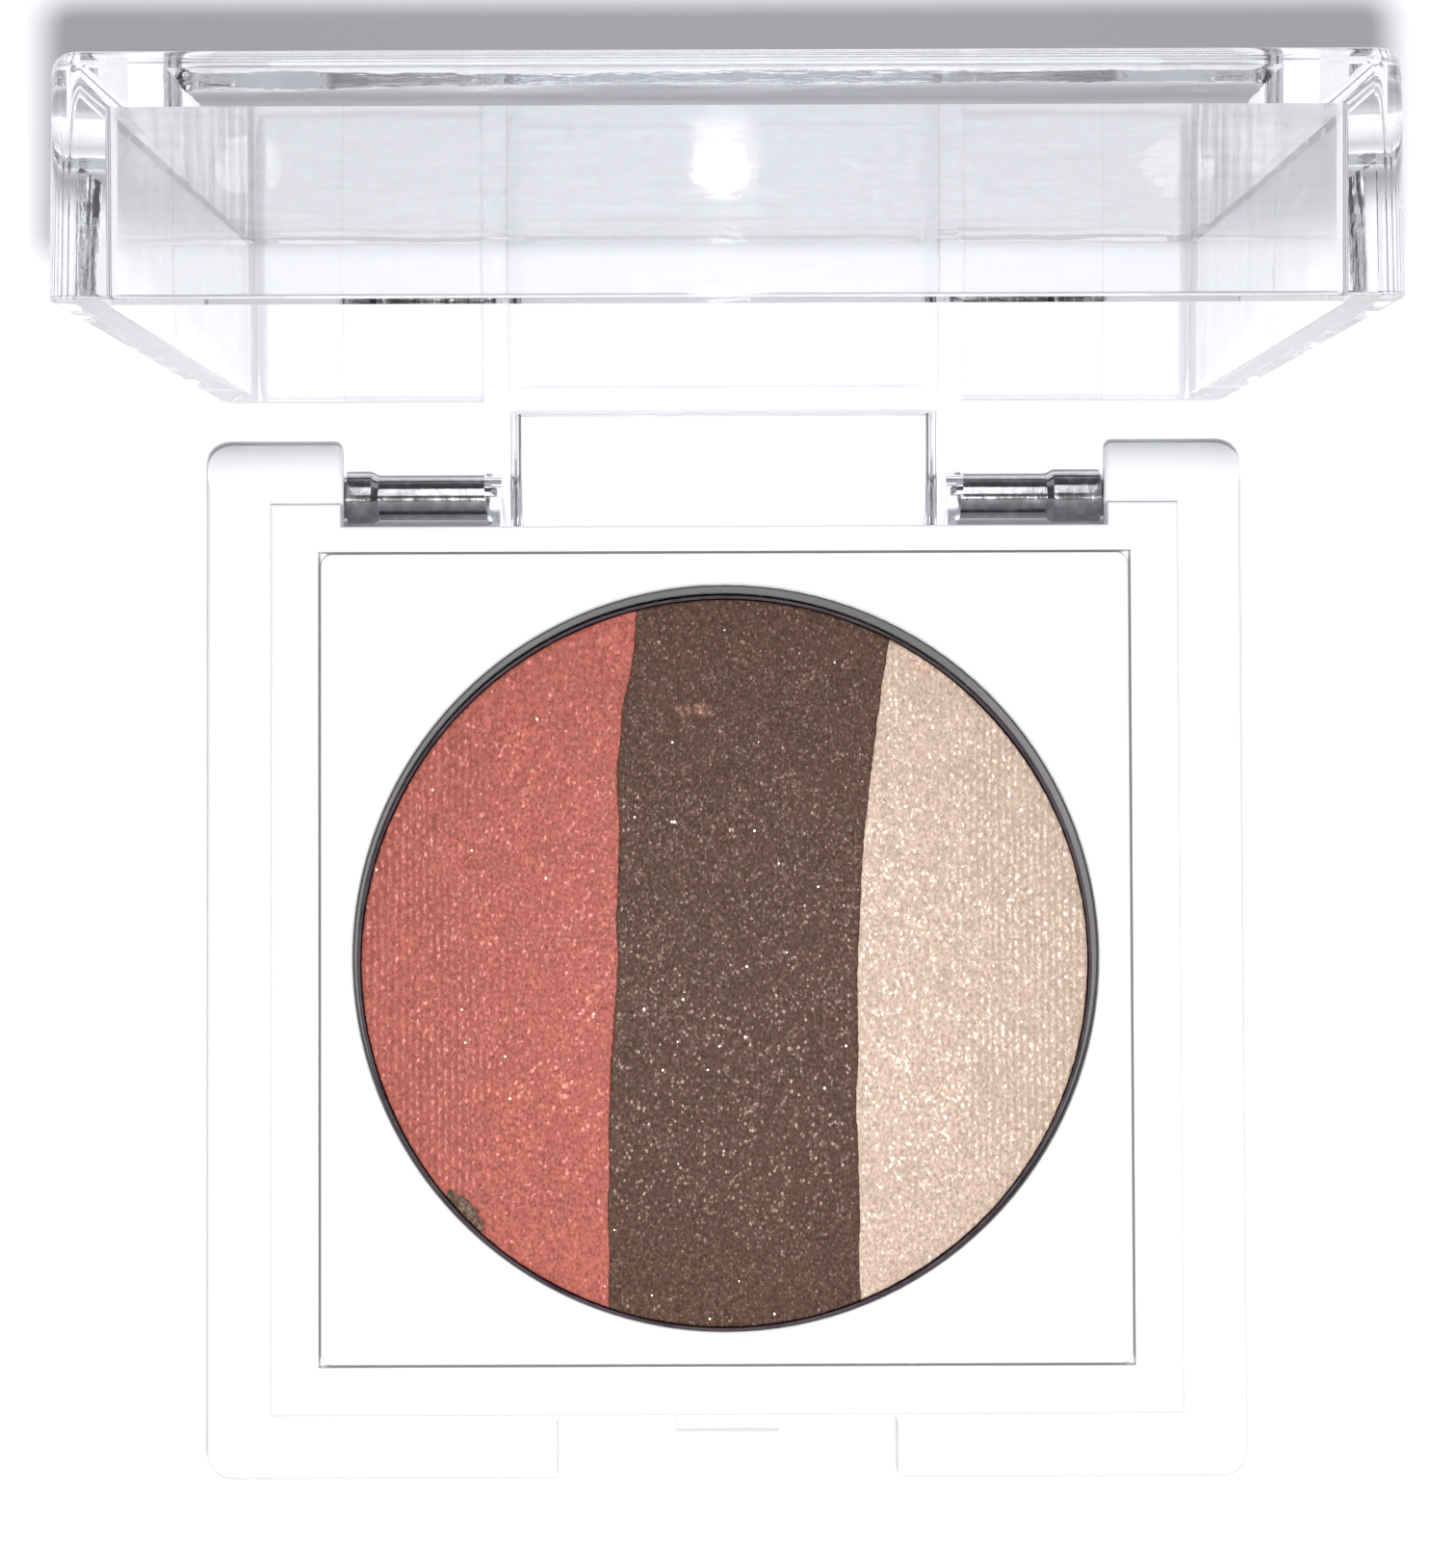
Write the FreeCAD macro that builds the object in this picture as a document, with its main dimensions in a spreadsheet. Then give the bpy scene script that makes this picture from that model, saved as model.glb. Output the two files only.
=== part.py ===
import FreeCAD, Part
import os
import math
import Sketcher

# Square compact with a clear lid on two stepped steel pins.
# Frame: X to the right, Y to the back (hinge side), Z up, millimetres.
# Origin: centre of the underside of the base.

os.makedirs("parts", exist_ok=True)
V = FreeCAD.Vector
doc = FreeCAD.newDocument("palette")

# ------------------------------------------------------------------ sizes
SIZES = [
    # base moulding
    ("base_half", 31.0, "half width of the base"),
    ("base_front", 31.0, "front face, in front of the origin"),
    ("base_rear", 31.1, "rear face of the knuckles"),
    ("flange_top", 10.0, "top of the lower flange"),
    ("corner_rad", 1.5, "plan corner radius of base and lid"),
    ("plat_half", 27.0, "half width of the raised platform"),
    ("plat_rise", 2.0, "platform above the flange"),
    ("knuckle_in", 22.8, "inner end of each knuckle, at the top of the flange"),
    ("knuckle_low", 23.8, "inner end of each knuckle at the table, wider by the mould's draft"),
    ("cut_front", 25.65, "front wall of the rear cut-out"),
    ("knuckle_rad", 3.5, "quarter round on the knuckles"),
    ("notch_half", 10.2, "half width of the finger notch"),
    ("notch_floor", 5.0, "floor of the finger notch"),
    ("notch_rad", 0.8, "plan radius in the notch corners"),
    ("bump_half", 3.05, "half width of the latch bump"),
    ("bump_out", 1.1, "latch bump, proud of the platform"),
    ("bump_low", 0.35, "underside of the bump above the flange"),
    ("bump_high", 1.5, "top of the bump above the flange"),
    ("recess_half", 24.13, "half width of the insert recess"),
    ("recess_deep", 1.6, "depth of the insert recess"),
    ("well_rad", 22.5, "pan well radius"),
    ("well_floor", 7.3, "pan well floor"),
    ("cavity_half", 29.0, "half width of the hollow underside"),
    ("cavity_rear", 24.1, "rear end of the hollow underside"),
    ("cavity_top", 5.8, "ceiling of the hollow under the well"),
    ("ring_top", 8.2, "ceiling of the hollow round the well"),
    ("ring_rad", 23.6, "outside of the well wall"),
    ("dent_half", 12.1, "half width of the solid block behind the notch"),
    ("dent_front", 25.3, "back of that block"),
    ("knuckle_soft", 0.5, "rounding of the inner ends of the knuckles"),
    ("edge_low", 0.6, "rounding of the lower outer edge"),
    ("edge_top", 0.35, "rounding of the upper outer edge"),
    # bottom cover
    ("cover_thick", 1.5, "bottom cover thickness"),
    ("cover_gap", 0.05, "bottom cover side clearance"),
    ("post_rad", 2.0, "cover post radius"),
    ("post_pitch", 15.0, "cover post position"),
    # insert plate
    ("insert_half", 24.0, "half width of the insert plate"),
    ("insert_thick", 1.55, "insert plate thickness"),
    ("insert_corner", 0.7, "insert plate corner radius"),
    ("hole_rad", 22.12, "round hole in the insert plate"),
    ("hole_round", 0.4, "rounding of the hole edge"),
    ("insert_round", 0.2, "rounding of the plate edge"),
    # pan, pad and powders
    ("pan_x", -0.07, "pan centre"),
    ("pan_y", 0.3, "pan centre, in front of the origin"),
    ("pan_rad", 21.78, "pan outside radius"),
    ("pan_wall", 0.16, "pan wall"),
    ("pan_base", 0.3, "pan bottom thickness"),
    ("pan_tall", 4.0, "pan height"),
    ("pan_round", 0.6, "pan lower edge rounding"),
    ("pad_rad", 20.5, "adhesive pad radius"),
    ("pad_thick", 0.3, "adhesive pad thickness"),
    ("powder_rad", 21.56, "powder radius"),
    ("powder_tall", 3.45, "powder thickness"),
    ("left_top", 4.9, "coral border at the rear rim, left of the origin"),
    ("left_low", 6.95, "coral border at the front rim, left of the origin"),
    ("left_bend", 279.0, "coral border bend radius"),
    ("right_top", 9.7, "champagne border at the rear rim"),
    ("right_low", 7.9, "champagne border at the front rim"),
    ("right_bend", 205.0, "champagne border bend radius"),
    # hinge
    ("hinge_y", 28.1, "hinge axis"),
    ("hinge_z", 4.2, "hinge axis height"),
    ("lid_open", 86.8, "lid opening in the rest pose, degrees"),
    ("pin_rad", 1.0, "pin inside the sleeve"),
    ("pin_end", 13.9, "inner end of the pins"),
    ("pin_cham", 0.2, "pin end chamfer"),
    ("neck_rad", 1.3, "root of the collar cone"),
    ("collar_rad", 1.55, "collar"),
    ("collar_cone", 0.42, "length of the collar cone"),
    ("collar_left", 21.6, "inner end of the left collar"),
    ("collar_right", 20.23, "inner end of the right collar"),
    ("collar_back", 23.1, "outer end of the collars"),
    ("tail_rad", 1.2, "pin tail radius"),
    ("tail_flat", 0.9, "flats on the tail, from the axis"),
    ("tail_len", 6.0, "tail inside the knuckle"),
    ("tail_gap", 0.02, "clearance of the tail in the knuckle"),
    ("sleeve_in", 1.04, "friction sleeve inside radius"),
    ("sleeve_out", 1.3, "friction sleeve outside radius"),
    ("sleeve_end", 14.2, "inner end of the sleeves"),
    ("sleeve_gap", 0.04, "gap between collar cone and sleeve"),
    ("slit_half", 0.14, "half width of the sleeve slit"),
    ("slit_turn", 46.0, "slit behind the top in the rest pose, degrees"),
    # lid, measured from the hinge axis with the lid shut
    ("lid_half", 30.9, "half width of the lid at the mouth"),
    ("lid_front", 59.05, "front face of the lid"),
    ("lid_rear", 1.8, "rear face of the lid"),
    ("mouth_up", 6.0, "mouth of the lid above the axis"),
    ("lid_tall", 11.3, "depth of the lid"),
    ("lid_draft", 1.0, "draft of the outer walls, degrees"),
    ("lid_round", 0.9, "outer top edge rounding"),
    ("mouth_round", 0.2, "outer mouth edge rounding"),
    ("hollow_half", 28.4, "half width of the hollow"),
    ("hollow_front", 56.5, "front wall, inner face"),
    ("hollow_rear", 0.4, "rear wall, inner face"),
    ("hollow_step", 0.85, "thicker middle of the rear wall"),
    ("step_half", 23.2, "half width of the thicker middle"),
    ("hollow_deep", 8.9, "depth of the hollow"),
    ("hollow_corner", 0.6, "corner radius of the hollow"),
    ("lug_half", 14.6, "half width of the hinge lug"),
    ("cheek_in", 13.1, "inner face of the lug cheeks"),
    ("barrel_rad", 2.2, "lug barrel radius"),
    ("barrel_round", 1.3, "rounding of the barrel ends"),
    ("cheek_rear", 1.0, "cheeks end inside the rear wall"),
    ("cheek_round", 1.2, "hollow rounding between cheeks and web"),
    ("web_rear", 1.75, "rear face of the lug web"),
    ("lug_plate", 1.5, "thickness of the lug over its recess"),
    ("lug_recess", 5.1, "top of the recess above the axis"),
    ("bore_rad", 1.32, "lug bores"),
    ("bore_deep", 1.0, "depth of the lug bores"),
]

sheet = doc.addObject("Spreadsheet::Sheet", "Sheet")
for row, (alias, number, words) in enumerate(SIZES, start=1):
    sheet.set("A%d" % row, words)
    sheet.set("B%d" % row, repr(number))
    sheet.setAlias("B%d" % row, alias)
doc.recompute()


class Q:
    """A size with both its number and the sheet expression it comes from."""

    def __init__(self, value, text):
        self.value = value
        self.text = text

    @staticmethod
    def of(other):
        if isinstance(other, Q):
            return other
        return Q(float(other), repr(float(other)))

    def __add__(self, other):
        other = Q.of(other)
        return Q(self.value + other.value, "(%s + %s)" % (self.text, other.text))

    def __sub__(self, other):
        other = Q.of(other)
        return Q(self.value - other.value, "(%s - %s)" % (self.text, other.text))

    def __mul__(self, other):
        other = Q.of(other)
        return Q(self.value * other.value, "(%s * %s)" % (self.text, other.text))

    def __neg__(self):
        return Q(-self.value, "(0 - %s)" % self.text)


S = {alias: Q(number, "Sheet.%s" % alias) for alias, number, words in SIZES}
plat_top = S["flange_top"] + S["plat_rise"]
recess_floor = plat_top - S["recess_deep"]


# ------------------------------------------------------------ sketch tools
def new_body(label):
    body = doc.addObject("PartDesign::Body", label)
    body.Label = label
    return body


def new_sketch(body, name, role, offset=None):
    sk = body.newObject("Sketcher::SketchObject", name)
    plane = [f for f in body.Origin.OriginFeatures if getattr(f, "Role", "") == role][0]
    sk.AttachmentSupport = [(plane, "")]
    sk.MapMode = "FlatFace"
    if offset is not None:
        sk.setExpression("AttachmentOffset.Base.z", offset.text)
    return sk


def bind(sk, constraint, expression):
    index = sk.addConstraint(constraint)
    sk.setExpression("Constraints[%d]" % index, expression)


def fix_x(sk, geo, pos, q):
    q = Q.of(q)
    if abs(q.value) < 1e-9:
        sk.addConstraint(Sketcher.Constraint("PointOnObject", geo, pos, -2))
    elif q.value > 0:
        bind(sk, Sketcher.Constraint("DistanceX", -1, 1, geo, pos, q.value), q.text)
    else:
        bind(sk, Sketcher.Constraint("DistanceX", geo, pos, -1, 1, -q.value), (-q).text)


def fix_y(sk, geo, pos, q):
    q = Q.of(q)
    if abs(q.value) < 1e-9:
        sk.addConstraint(Sketcher.Constraint("PointOnObject", geo, pos, -1))
    elif q.value > 0:
        bind(sk, Sketcher.Constraint("DistanceY", -1, 1, geo, pos, q.value), q.text)
    else:
        bind(sk, Sketcher.Constraint("DistanceY", geo, pos, -1, 1, -q.value), (-q).text)


def polygon(sk, points):
    points = [(Q.of(x), Q.of(y)) for x, y in points]
    ids = []
    for i, (x, y) in enumerate(points):
        x2, y2 = points[(i + 1) % len(points)]
        ids.append(sk.addGeometry(Part.LineSegment(V(x.value, y.value, 0), V(x2.value, y2.value, 0))))
    for i, g in enumerate(ids):
        sk.addConstraint(Sketcher.Constraint("Coincident", g, 2, ids[(i + 1) % len(ids)], 1))
    for g, (x, y) in zip(ids, points):
        fix_x(sk, g, 1, x)
        fix_y(sk, g, 1, y)
    return ids


def rectangle(sk, x0, x1, y0, y1):
    return polygon(sk, [(x0, y0), (x1, y0), (x1, y1), (x0, y1)])


def circle(sk, x, y, radius):
    x, y, radius = Q.of(x), Q.of(y), Q.of(radius)
    g = sk.addGeometry(Part.Circle(V(x.value, y.value, 0), V(0, 0, 1), radius.value))
    bind(sk, Sketcher.Constraint("Radius", g, radius.value), radius.text)
    if abs(x.value) < 1e-9 and abs(y.value) < 1e-9:
        sk.addConstraint(Sketcher.Constraint("Coincident", g, 3, -1, 1))
    else:
        fix_x(sk, g, 3, x)
        fix_y(sk, g, 3, y)
    return g


def double_d(sk, x, y, radius, flat):
    """A round profile with an upper and a lower flat."""
    cx, cy, r, f = x.value, y.value, radius.value, flat.value
    a = math.asin(f / r)
    base = Part.Circle(V(cx, cy, 0), V(0, 0, 1), r)
    right = sk.addGeometry(Part.ArcOfCircle(base, -a, a))
    left = sk.addGeometry(Part.ArcOfCircle(base, math.pi - a, math.pi + a))
    w = r * math.cos(a)
    top = sk.addGeometry(Part.LineSegment(V(cx + w, cy + f, 0), V(cx - w, cy + f, 0)))
    low = sk.addGeometry(Part.LineSegment(V(cx - w, cy - f, 0), V(cx + w, cy - f, 0)))
    for g1, p1, g2, p2 in ((right, 2, top, 1), (top, 2, left, 1), (left, 2, low, 1), (low, 2, right, 1), (left, 3, right, 3)):
        sk.addConstraint(Sketcher.Constraint("Coincident", g1, p1, g2, p2))
    sk.addConstraint(Sketcher.Constraint("Equal", right, left))
    sk.addConstraint(Sketcher.Constraint("Horizontal", top))
    sk.addConstraint(Sketcher.Constraint("Horizontal", low))
    bind(sk, Sketcher.Constraint("Radius", right, r), radius.text)
    fix_x(sk, right, 3, x)
    fix_y(sk, right, 3, y)
    fix_y(sk, top, 1, y + flat)
    fix_y(sk, low, 1, y - flat)


# ----------------------------------------------------------- feature tools
def solid_volume(body):
    return body.Shape.Volume if body.Tip is not None and not body.Shape.isNull() else 0.0


def pad(body, sk, name, length, flip=False, both=False, taper=None):
    before = solid_volume(body)
    f = body.newObject("PartDesign::Pad", name)
    f.Profile = sk
    f.setExpression("Length", Q.of(length).text)
    f.Reversed = flip
    if both:
        f.SideType = "Symmetric"
    if taper is not None:
        f.setExpression("TaperAngle", taper.text)
    sk.Visibility = False
    doc.recompute()
    if not body.Shape.Volume > before + 1e-4:
        raise RuntimeError("%s added nothing" % name)
    return f


def pocket(body, sk, name, length=None, flip=False, both=False):
    before = solid_volume(body)
    f = body.newObject("PartDesign::Pocket", name)
    f.Profile = sk
    if length is None:
        f.Type = "ThroughAll"
    else:
        f.setExpression("Length", Q.of(length).text)
    f.Reversed = flip
    if both:
        f.SideType = "Symmetric"
    sk.Visibility = False
    doc.recompute()
    if not body.Shape.Volume < before - 1e-4:
        raise RuntimeError("%s cut nothing" % name)
    return f


def revolve(body, sk, name, role):
    f = body.newObject("PartDesign::Revolution", name)
    f.Profile = sk
    axis = [o for o in body.Origin.OriginFeatures if getattr(o, "Role", "") == role][0]
    f.ReferenceAxis = (axis, [""])
    f.Angle = 360.0
    sk.Visibility = False
    before = solid_volume(body)
    doc.recompute()
    if f.Shape.isNull() or not f.Shape.isValid() or not body.Shape.Volume > before + 1e-4:
        raise RuntimeError("%s added nothing" % name)
    return f


def fillet(body, name, radius, keep):
    """Round the edges of the current solid for which keep(edge) is true."""
    tip = body.Tip
    names = ["Edge%d" % (i + 1) for i, e in enumerate(tip.Shape.Edges) if keep(e)]
    if not names:
        raise RuntimeError("%s found no edge" % name)
    f = body.newObject("PartDesign::Fillet", name)
    f.Base = (tip, names)
    f.setExpression("Radius", Q.of(radius).text)
    doc.recompute()
    if f.Shape.isNull() or not f.Shape.isValid() or "Invalid" in f.State:
        raise RuntimeError("%s failed" % name)
    return f


def box_of(e):
    b = e.BoundBox
    return b.XMin, b.XMax, b.YMin, b.YMax, b.ZMin, b.ZMax


def near(a, b, tol=1e-3):
    return abs(a - b) < tol


def upright(e):
    x0, x1, y0, y1, z0, z1 = box_of(e)
    return z1 - z0 > 0.5 and x1 - x0 < 1e-3 and y1 - y0 < 1e-3


def at_height(e, z):
    x0, x1, y0, y1, z0, z1 = box_of(e)
    return near(z0, z) and near(z1, z)


# ------------------------------------------------------------- base moulding
hb, fb, rb = S["base_half"], S["base_front"], S["base_rear"]
body = new_body("base_shell")
sk = new_sketch(body, "base_plan", "XY_Plane")
rectangle(sk, -hb, hb, -fb, rb)
pad(body, sk, "base_block", S["flange_top"])
fillet(body, "base_corners", S["corner_rad"], upright)
fillet(body, "base_low_edge", S["edge_low"], lambda e: at_height(e, 0.0))
fillet(body, "flange_edge", S["edge_top"], lambda e: at_height(e, S["flange_top"].value))

sk = new_sketch(body, "platform_plan", "XY_Plane", S["flange_top"])
rectangle(sk, -S["plat_half"], S["plat_half"], -S["plat_half"], S["plat_half"])
pad(body, sk, "platform", S["plat_rise"])

# quarter round along the upper rear edge of the knuckles
sk = new_sketch(body, "knuckle_profile", "YZ_Plane")
# (set out a hair, so that it meets the top and the rear face in clean edges)
ky, kz, kr = rb - S["knuckle_rad"] + 0.012, S["flange_top"] - S["knuckle_rad"] + 0.012, S["knuckle_rad"]
arc = sk.addGeometry(Part.ArcOfCircle(Part.Circle(V(ky.value, kz.value, 0), V(0, 0, 1), kr.value), 0, math.pi / 2))
far_y, far_z = rb + 1.0, S["flange_top"] + 1.0
corner = [(ky + kr, kz), (far_y, kz), (far_y, far_z), (ky, far_z), (ky, kz + kr)]
lines = []
for (ya, za), (yb, zb) in zip(corner[:-1], corner[1:]):
    lines.append(sk.addGeometry(Part.LineSegment(V(ya.value, za.value, 0), V(yb.value, zb.value, 0))))
sk.addConstraint(Sketcher.Constraint("Coincident", arc, 1, lines[0], 1))
for i in range(3):
    sk.addConstraint(Sketcher.Constraint("Coincident", lines[i], 2, lines[i + 1], 1))
sk.addConstraint(Sketcher.Constraint("Coincident", lines[3], 2, arc, 2))
sk.addConstraint(Sketcher.Constraint("Horizontal", lines[0]))
sk.addConstraint(Sketcher.Constraint("Vertical", lines[1]))
sk.addConstraint(Sketcher.Constraint("Horizontal", lines[2]))
sk.addConstraint(Sketcher.Constraint("Vertical", lines[3]))
bind(sk, Sketcher.Constraint("Radius", arc, kr.value), kr.text)
fix_x(sk, arc, 3, ky)
fix_y(sk, arc, 3, kz)
fix_x(sk, lines[1], 1, far_y)
fix_y(sk, lines[2], 1, far_z)
fix_y(sk, lines[0], 1, kz)
fix_x(sk, lines[3], 1, ky)
pocket(body, sk, "knuckle_round", hb * 2.0 + 4.0, both=True)

# rear cut-out between the knuckles, open down to the table
ki, kl, ft = S["knuckle_in"], S["knuckle_low"], S["flange_top"]
sk = new_sketch(body, "cutout_profile", "XZ_Plane", -S["cut_front"])
polygon(sk, [(-kl, -1.0), (kl, -1.0), (kl, 0.0), (ki, ft), (ki, plat_top + 2.0), (-ki, plat_top + 2.0), (-ki, ft), (-kl, 0.0)])
pocket(body, sk, "rear_cutout", rb + 4.0 - S["cut_front"])

# finger notch through the front flange
sk = new_sketch(body, "notch_plan", "XY_Plane", S["notch_floor"])
rectangle(sk, -S["notch_half"], S["notch_half"], -(fb + 4.0), -S["plat_half"])
pocket(body, sk, "finger_notch", S["flange_top"] - S["notch_floor"], flip=True)
nh, nf, pf = S["notch_half"].value, S["notch_floor"].value, S["plat_half"].value
fillet(body, "notch_corners", S["notch_rad"],
       lambda e: upright(e) and near(abs(e.BoundBox.XMin), nh) and near(e.BoundBox.YMin, -pf))

# latch bump on the front face of the platform
sk = new_sketch(body, "bump_profile", "YZ_Plane")
face = -S["plat_half"]
low, high = S["flange_top"] + S["bump_low"], S["flange_top"] + S["bump_high"]
out = face - S["bump_out"]
polygon(sk, [(face + 0.5, low), (out + 0.35, low), (out, low + 0.4), (out, high - 0.55), (out + 0.35, high), (face + 0.5, high)])
pad(body, sk, "latch_bump", S["bump_half"] * 2.0, both=True)

# recess for the insert plate, then the pan well
sk = new_sketch(body, "recess_plan", "XY_Plane", plat_top)
rectangle(sk, -S["recess_half"], S["recess_half"], -S["recess_half"], S["recess_half"])
pocket(body, sk, "insert_recess", S["recess_deep"])
sk = new_sketch(body, "well_plan", "XY_Plane", recess_floor)
circle(sk, 0, 0, S["well_rad"])
pocket(body, sk, "pan_well", recess_floor - S["well_floor"])

# hollow underside, with a solid block left behind the notch
ch, cr, dh, df = S["cavity_half"], S["cavity_rear"], S["dent_half"], S["dent_front"]
hollow = [(-ch, -ch), (-dh, -ch), (-dh, -df), (dh, -df), (dh, -ch), (ch, -ch), (ch, cr), (-ch, cr)]
sk = new_sketch(body, "hollow_plan", "XY_Plane")
polygon(sk, hollow)
pocket(body, sk, "hollow_under", S["cavity_top"], flip=True)
sk = new_sketch(body, "ring_plan", "XY_Plane", S["cavity_top"])
polygon(sk, hollow)
circle(sk, 0, 0, S["ring_rad"])
pocket(body, sk, "hollow_ring", S["ring_top"] - S["cavity_top"], flip=True)

# flatted blind bores in the knuckles for the pin tails
for side, name in ((1, "right"), (-1, "left")):
    sk = new_sketch(body, "tail_bore_plan_" + name, "YZ_Plane", S["knuckle_in"] * float(side))
    double_d(sk, S["hinge_y"], S["hinge_z"], S["tail_rad"] + S["tail_gap"], S["tail_flat"] + S["tail_gap"])
    pocket(body, sk, "tail_bore_" + name, S["tail_len"] + 0.1, flip=(side > 0))

# softened edges: knuckle ends, platform top
pt = plat_top.value
fillet(body, "knuckle_ends", S["knuckle_soft"],
       lambda e: min(abs(e.BoundBox.XMin), abs(e.BoundBox.XMax)) > ki.value - 0.01
       and max(abs(e.BoundBox.XMin), abs(e.BoundBox.XMax)) < kl.value + 0.01
       and e.BoundBox.YMax > ky.value + 0.5 and e.BoundBox.YMin > ky.value - 0.01
       and e.BoundBox.ZMax - e.BoundBox.ZMin > 2.5)
fillet(body, "platform_edge", S["edge_top"],
       lambda e: at_height(e, pt) and max(abs(v) for v in box_of(e)[:4]) > S["recess_half"].value + 0.5)


# -------------------------------------------------------------- bottom cover
body = new_body("bottom_cover")
gap = S["cover_gap"]
outline = [(-ch + gap, -ch + gap), (-dh - gap, -ch + gap), (-dh - gap, -df + gap), (dh + gap, -df + gap),
           (dh + gap, -ch + gap), (ch - gap, -ch + gap), (ch - gap, cr - gap), (-ch + gap, cr - gap)]
sk = new_sketch(body, "cover_plan", "XY_Plane")
polygon(sk, outline)
pad(body, sk, "cover_plate", S["cover_thick"])
sk = new_sketch(body, "post_plan", "XY_Plane", S["cover_thick"])
for sx in (-1.0, 1.0):
    for sy in (-1.0, 1.0):
        circle(sk, S["post_pitch"] * sx, S["post_pitch"] * sy, S["post_rad"])
pad(body, sk, "cover_posts", S["cavity_top"] - S["cover_thick"])


# -------------------------------------------------------------- insert plate
body = new_body("insert_plate")
ih = S["insert_half"]
sk = new_sketch(body, "insert_plan", "XY_Plane")
rectangle(sk, -ih, ih, -ih, ih)
pad(body, sk, "plate", S["insert_thick"])
fillet(body, "plate_corners", S["insert_corner"], upright)
sk = new_sketch(body, "hole_plan", "XY_Plane")
circle(sk, 0, 0, S["hole_rad"])
pocket(body, sk, "pan_hole", S["insert_thick"] + 1.0, flip=True)
it = S["insert_thick"].value
fillet(body, "hole_edge", S["hole_round"],
       lambda e: at_height(e, it) and hasattr(e.Curve, "Radius") and near(e.Curve.Radius, S["hole_rad"].value))
fillet(body, "plate_edge", S["insert_round"],
       lambda e: at_height(e, it) and max(abs(v) for v in box_of(e)[:4]) > ih.value - 0.01)
body.setExpression("Placement.Base.z", recess_floor.text)


# ------------------------------------------------------------ pan and its pad
body = new_body("pan")
pr, pw = S["pan_rad"], S["pan_wall"]
sk = new_sketch(body, "pan_plan", "XY_Plane")
circle(sk, 0, 0, pr)
pad(body, sk, "pan_blank", S["pan_tall"])
fillet(body, "pan_low_edge", S["pan_round"], lambda e: at_height(e, 0.0) and hasattr(e.Curve, "Radius"))
sk = new_sketch(body, "pan_inside", "XY_Plane", S["pan_base"])
circle(sk, 0, 0, pr - pw)
pocket(body, sk, "pan_hollow", S["pan_tall"], flip=True)
pan_floor = S["well_floor"] + S["pad_thick"]
body.setExpression("Placement.Base.x", S["pan_x"].text)
body.setExpression("Placement.Base.y", (-S["pan_y"]).text)
body.setExpression("Placement.Base.z", pan_floor.text)

body = new_body("pan_adhesive")
sk = new_sketch(body, "pad_plan", "XY_Plane")
circle(sk, 0, 0, S["pad_rad"])
pad(body, sk, "pad_disc", S["pad_thick"])
body.setExpression("Placement.Base.x", S["pan_x"].text)
body.setExpression("Placement.Base.y", (-S["pan_y"]).text)
body.setExpression("Placement.Base.z", S["well_floor"].text)


# ------------------------------------------------------------------- powders
# Each powder is a slice of one disc; the borders are shallow arcs.
pwr = S["powder_rad"].value


def rim_point(x, sign):
    return x, sign * math.sqrt(pwr * pwr - x * x)


def bend_centre(p, q, radius):
    """Centre, on the right, of the shallow arc through p and q."""
    mx, my = (p[0] + q[0]) / 2, (p[1] + q[1]) / 2
    dx, dy = q[0] - p[0], q[1] - p[1]
    d = math.hypot(dx, dy)
    up = math.sqrt(radius * radius - d * d / 4)
    nx, ny = -dy / d, dx / d
    if nx < 0:
        nx, ny = -nx, -ny
    return mx + nx * up, my + ny * up


def arc_between(sk, centre, radius, start, end):
    """Counter-clockwise arc from start to end."""
    a = math.atan2(start[1] - centre[1], start[0] - centre[0])
    b = math.atan2(end[1] - centre[1], end[0] - centre[0])
    if b < a:
        b += 2 * math.pi
    return sk.addGeometry(Part.ArcOfCircle(Part.Circle(V(centre[0], centre[1], 0), V(0, 0, 1), radius), a, b))


# border ends in the disc's own frame, which is centred on the pan
lx_top, lx_low = -(S["left_top"] + S["pan_x"]), -(S["left_low"] + S["pan_x"])
rx_top, rx_low = S["right_top"] - S["pan_x"], S["right_low"] - S["pan_x"]
LT, LL = rim_point(lx_top.value, 1), rim_point(lx_low.value, -1)
RT, RL = rim_point(rx_top.value, 1), rim_point(rx_low.value, -1)
LC = bend_centre(LT, LL, S["left_bend"].value)
RC = bend_centre(RT, RL, S["right_bend"].value)


def rim_arc(sk, start, end):
    g = arc_between(sk, (0.0, 0.0), pwr, start, end)
    sk.addConstraint(Sketcher.Constraint("Coincident", g, 3, -1, 1))
    bind(sk, Sketcher.Constraint("Radius", g, pwr), S["powder_rad"].text)
    return g


def border_arc(sk, centre, bend, start, end):
    g = arc_between(sk, centre, bend.value, start, end)
    bind(sk, Sketcher.Constraint("Radius", g, bend.value), bend.text)
    return g


def place_powder(body, sk):
    pad(body, sk, body.Label + "_cake", S["powder_tall"])
    body.setExpression("Placement.Base.x", S["pan_x"].text)
    body.setExpression("Placement.Base.y", (-S["pan_y"]).text)
    body.setExpression("Placement.Base.z", (pan_floor + S["pan_base"]).text)


body = new_body("powder_coral")
sk = new_sketch(body, "coral_plan", "XY_Plane")
rim = rim_arc(sk, LT, LL)
edge = border_arc(sk, LC, S["left_bend"], LT, LL)
sk.addConstraint(Sketcher.Constraint("Coincident", rim, 1, edge, 1))
sk.addConstraint(Sketcher.Constraint("Coincident", rim, 2, edge, 2))
fix_x(sk, rim, 1, lx_top)
fix_x(sk, rim, 2, lx_low)
place_powder(body, sk)

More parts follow.
